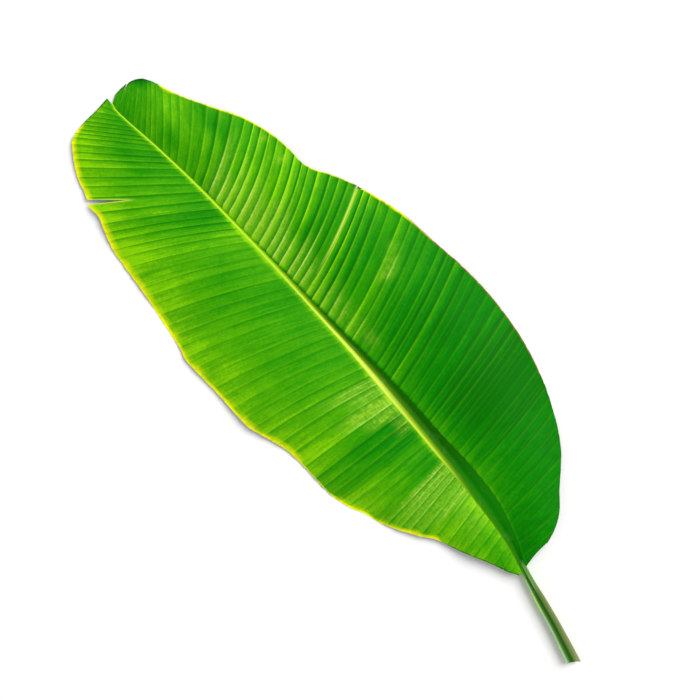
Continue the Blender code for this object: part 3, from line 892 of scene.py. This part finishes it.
def blade_paint(name, seed):
    p = Paint(name)
    vein, out, place = p.value("vein"), p.value("out"), p.place()
    shift = float(seed)
    along_veins = p.vector(vein, p.times(out, 1.6), shift)
    streaks = p.noise(along_veins, 2.6, 4.0)
    threads = p.noise(p.vector(p.times(vein, 5.5), p.times(out, 3.0), shift), 1.0, 3.0)
    wrinkles = p.noise(p.vector(p.times(vein, 2.5), p.times(out, 46.0), shift), 1.0, 3.0)
    blotch = p.noise(place, 16.0, 4.0)
    grain = p.noise(place, 190.0, 3.0, 0.65)

    tone = p.plus(p.value("tone"), p.around(streaks, 0.34))
    tone = p.plus(tone, p.around(threads, 0.42))
    tone = p.plus(tone, p.around(grain, 0.30))
    tone = p.plus(tone, p.around(blotch, 0.26), clamp=True)
    green = p.ramp(tone, (0.0, DEEP), (0.25, DARK), (0.5, MID), (0.75, LIGHT), (1.0, LIME))
    fine_line = p.span(p.math("PINGPONG", p.times(vein, FINE_VEINS), 0.5), 0.05, 0.22, 1.0, 0.0)
    # The painted sheen, a painted reflection, in broken streaks, with the pale marks
    painted_sheen_and_spots = p.times(p.value("painted_sheen_and_spots"), p.span(p.noise(along_veins, 6.0, 3.0), 0.32, 0.68, 0.35, 1.1))
    painted_sheen_and_spots = p.times(painted_sheen_and_spots, p.span(wrinkles, 0.34, 0.66, 0.55, 1.35))
    line = p.value("line")
    # Where the painted sheen lies, the vein lines are painted whiter, a painted highlight
    line_share = p.times(line, p.plus(0.11, p.times(p.value("painted_sheen_and_spots"), 0.75)), clamp=True)
    colour = p.mix(p.times(fine_line, 0.015), green, PALE_VEIN)
    colour = p.mix(p.times(painted_sheen_and_spots, 0.66), colour, PAINTED_SHEEN_COLOUR)
    colour = p.mix(line_share, colour, p.mix(painted_sheen_and_spots, PALE_VEIN, PAINTED_SHEEN_VEIN))
    colour = p.mix(p.times(p.value("crease"), 0.8), colour, CREASE)
    edge_noise = p.span(p.noise(place, 120.0, 3.0), 0.3, 0.7, 0.6, 1.1)
    for band, band_colour in (("yellow", YELLOW), ("dry", TAN), ("rim", RIM)):
        colour = p.mix(p.times(p.value(band), edge_noise, clamp=True), colour, band_colour)
    below = p.mix(streaks, UNDER_DEEP, UNDER_GREEN)
    below = p.mix(p.times(line, 0.5), below, UNDER_VEIN)
    below = p.mix(p.times(fine_line, 0.15), below, UNDER_FINE_VEIN)
    colour = p.mix(p.value("under"), colour, below)

    roughness = p.plus(0.34, p.times(blotch, 0.22))
    roughness = p.plus(roughness, p.times(p.value("under"), 0.12))
    height = p.plus(p.times(fine_line, 0.4), p.times(threads, 0.9))
    height = p.plus(height, p.times(grain, 0.6))
    return p.surface(colour, roughness, p.bump(height, 0.40, 0.0006), BLADE_SHEEN)


def channel_paint(p, side, along):
    """The channel's colour: green at the base, farther on a bright left wall, partly its own pale
    colour and partly painted light, beside a right side darkened with painted shade, and lime at the
    tip.
    """
    base = p.ramp(
        side, (0.0, rgb(16, 140, 2)), (0.35, rgb(20, 142, 3)), (0.46, rgb(32, 136, 3)),
        (0.66, rgb(44, 126, 1)), (0.84, rgb(60, 128, 1)), (1.0, rgb(96, 162, 5)),
    )
    # In these two ramps the left wall's pale yellow is partly painted light, and the right side's
    # deeper green partly painted shade
    wide = p.ramp(
        side, (0.0, rgb(28, 112, 3)), (0.30, rgb(24, 116, 6)), (0.42, rgb(34, 120, 3)),
        (0.60, rgb(56, 120, 0)), (0.77, rgb(130, 174, 10)), (0.90, rgb(196, 226, 56)),
        (1.0, rgb(130, 176, 24)),
    )
    bright = p.ramp(
        side, (0.0, rgb(30, 112, 4)), (0.28, rgb(44, 122, 6)), (0.46, rgb(74, 134, 0)),
        (0.60, rgb(108, 152, 4)), (0.72, rgb(206, 230, 68)), (0.85, rgb(222, 242, 92)),
        (1.0, rgb(150, 192, 46)),
    )
    tip = p.ramp(
        side, (0.0, rgb(112, 180, 8)), (0.38, rgb(168, 218, 16)), (0.65, rgb(190, 234, 52)),
        (1.0, rgb(136, 190, 24)),
    )
    channel = p.mix(p.span(along, 0.30, 0.44), base, wide)
    channel = p.mix(p.span(along, 0.44, 0.60), channel, bright)
    return p.mix(p.span(along, 0.64, 0.86), channel, tip)


def stalk_paint(p, side, along):
    """The petiole's colour: a dark groove, partly painted shade, between pale edges, a lime wing, and
    a pale painted highlight near the blade.
    """
    # the groove's deep green, between 0.38 and 0.75, is partly painted shade
    stalk = p.ramp(
        side, (0.0, rgb(190, 190, 148)), (0.16, rgb(172, 182, 120)), (0.28, rgb(146, 172, 90)),
        (0.38, rgb(98, 136, 54)), (0.48, rgb(40, 84, 18)), (0.62, rgb(34, 82, 18)),
        (0.75, rgb(58, 108, 42)), (0.86, rgb(104, 148, 84)), (1.0, rgb(168, 196, 148)),
    )
    wing = p.times(p.span(along, 0.094, 0.106), p.span(along, 0.128, 0.144, 1.0, 0.0))
    stalk = p.mix(p.times(p.span(side, 0.86, 0.95), wing), stalk, rgb(160, 206, 66))
    # a pale painted highlight on the petiole's right side, near the blade
    petiole_highlight = p.times(p.span(along, 0.118, 0.150), p.span(side, 0.34, 0.52, 1.0, 0.0))
    return p.mix(p.times(petiole_highlight, 0.85), stalk, rgb(172, 222, 132))


def midrib_paint():
    p = Paint("midrib_green")
    cross, along, place = p.value("cross"), p.value("along"), p.place()
    fibres = p.noise(p.vector(p.times(along, 14.0), p.times(cross, 9.0), 3.0), 1.0, 4.0)
    threads = p.noise(p.vector(p.times(along, 30.0), p.times(cross, 34.0), 8.0), 1.0, 3.0)
    blotch = p.noise(place, 60.0, 3.0)
    side = p.plus(p.times(cross, 0.5), 0.5)  # 0 at the right edge and 1 at the left
    side = p.plus(side, p.around(fibres, 0.06))
    ahead = p.plus(along, p.span(side, 0.40, 0.66, 0.0, 0.020))
    in_blade = p.span(ahead, 0.172, 0.187)
    upper = p.mix(in_blade, stalk_paint(p, side, along), channel_paint(p, side, along))
    keel = p.mix(fibres, rgb(104, 146, 70), rgb(150, 182, 108))
    colour = p.mix(p.value("under"), upper, keel)
    colour = p.mix(p.times(p.span(threads, 0.45, 0.75), 0.18), colour, rgb(60, 104, 20))
    colour = p.mix(p.times(p.span(blotch, 0.55, 0.8), 0.10), colour, rgb(180, 205, 110))
    roughness = p.plus(0.34, p.times(blotch, 0.24))
    height = p.plus(p.times(threads, 0.7), p.times(fibres, 0.5))
    return p.surface(colour, roughness, p.bump(height, 0.35, 0.0005), MIDRIB_SHEEN)


def cut_paint():
    p = Paint("cut_end")
    place = p.place()
    cells = p.cells(place, 620.0)
    grain = p.noise(place, 300.0, 3.0)
    colour = p.ramp(
        cells, (0.0, rgb(96, 104, 52)), (0.32, rgb(168, 176, 112)), (0.7, rgb(206, 208, 150)),
    )
    colour = p.mix(p.times(p.span(grain, 0.5, 0.75), 0.5), colour, rgb(142, 112, 60))
    height = p.plus(cells, p.times(grain, 0.3))
    return p.surface(colour, 0.72, p.bump(height, 0.8, 0.0008), CUT_SHEEN)


def floor_paint():
    p = Paint("pale_floor")
    shade = p.mix(p.noise(p.place(), 3.0, 2.0), *FLOOR_SHADES)
    p.feed(p.shader.inputs["Base Color"], shade)
    p.shader.inputs["Roughness"].default_value = 0.8
    p.shader.inputs["Specular IOR Level"].default_value = FLOOR_SHEEN
    return p.material


def fit(piece, *materials):
    """Gives a piece its materials and its place in the table."""
    for material in materials:
        piece.data.materials.append(material)
    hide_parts("banana_leaf")
    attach(piece, "root")


def make_leaf():
    fit(blade_half("blade_left", LEFT_HALF), blade_paint("blade_left_green", 1))
    fit(blade_half("blade_right", RIGHT_HALF), blade_paint("blade_right_green", 7))
    stem, first_cut_face = petiole_and_midrib("petiole_and_midrib")
    fit(stem, midrib_paint(), cut_paint())
    for face in stem.data.polygons[first_cut_face:first_cut_face + MIDRIB_COLUMNS + 1]:
        face.material_index = 1
        face.use_smooth = False


# Room, light and camera

FLOOR_SIZE = 30.0
FLOOR_DROP = 0.0003  # the floor lies this far under the leaf
HORIZON_LIGHT, HIGH_LIGHT, HIGH_Z = 1.0, 0.55, 0.45  # the sky's strength, and where it is least
KEY_LIGHT = {"azimuth": 0, "elevation": 50, "distance": 12.0, "size": 9.0, "power": 1330}
PICTURE_WIDTH = 1.1542  # metres across the picture at the leaf
LENS, SENSOR = 100.0, 36.0
AIM = (0.03035, 0.00829, 0.012)
ROLL = -129.81  # degrees from the part's X to the picture's right


def make_room():
    half = FLOOR_SIZE / 2
    mesh = bpy.data.meshes.new("floor")
    corners = [(-half, -half, 0), (half, -half, 0), (half, half, 0), (-half, half, 0)]
    mesh.from_pydata(corners, [], [(0, 1, 2, 3)])
    floor = bpy.data.objects.new("floor", mesh)
    floor.location.z = -FLOOR_DROP
    mesh.materials.append(floor_paint())
    bpy.context.scene.collection.objects.link(floor)

    world = bpy.data.worlds.new("studio")
    bpy.context.scene.world = world
    world.use_nodes = True
    tree = world.node_tree
    background = tree.nodes["Background"]
    background.inputs["Color"].default_value = (1.0, 1.0, 1.0, 1.0)
    split = tree.nodes.new("ShaderNodeSeparateXYZ")
    tree.links.new(tree.nodes.new("ShaderNodeTexCoord").outputs["Generated"], split.inputs[0])
    height = tree.nodes.new("ShaderNodeMapRange")
    tree.links.new(split.outputs["Z"], height.inputs["Value"])
    height.inputs["From Min"].default_value = 0.0
    height.inputs["From Max"].default_value = HIGH_Z
    height.inputs["To Min"].default_value = HORIZON_LIGHT
    height.inputs["To Max"].default_value = HIGH_LIGHT
    tree.links.new(height.outputs["Result"], background.inputs["Strength"])


def add_light(name, azimuth, elevation, distance, size, power):
    """A soft square light that looks at the leaf. Azimuth 0 stands to -Y and 90 to +X."""
    data = bpy.data.lights.new(name, "AREA")
    data.shape = "SQUARE"
    data.size = size
    data.energy = power
    a, e = math.radians(azimuth), math.radians(elevation)
    way = Vector((math.sin(a) * math.cos(e), -math.cos(a) * math.cos(e), math.sin(e)))
    light = bpy.data.objects.new(name, data)
    light.location = way * distance
    light.rotation_euler = way.to_track_quat("Z", "Y").to_euler()
    bpy.context.scene.collection.objects.link(light)


def make_camera():
    data = bpy.data.cameras.new("camera")
    data.lens, data.sensor_width = LENS, SENSOR
    data.clip_end = 100.0
    camera = bpy.data.objects.new("camera", data)
    camera.location = Vector(AIM) + Vector((0, 0, PICTURE_WIDTH * LENS / SENSOR))
    camera.rotation_euler = (0, 0, math.radians(ROLL))
    bpy.context.scene.collection.objects.link(camera)
    bpy.context.scene.camera = camera


make_leaf()
make_room()
add_light("key", **KEY_LIGHT)
make_camera()
bpy.context.scene.view_settings.view_transform = "Standard"
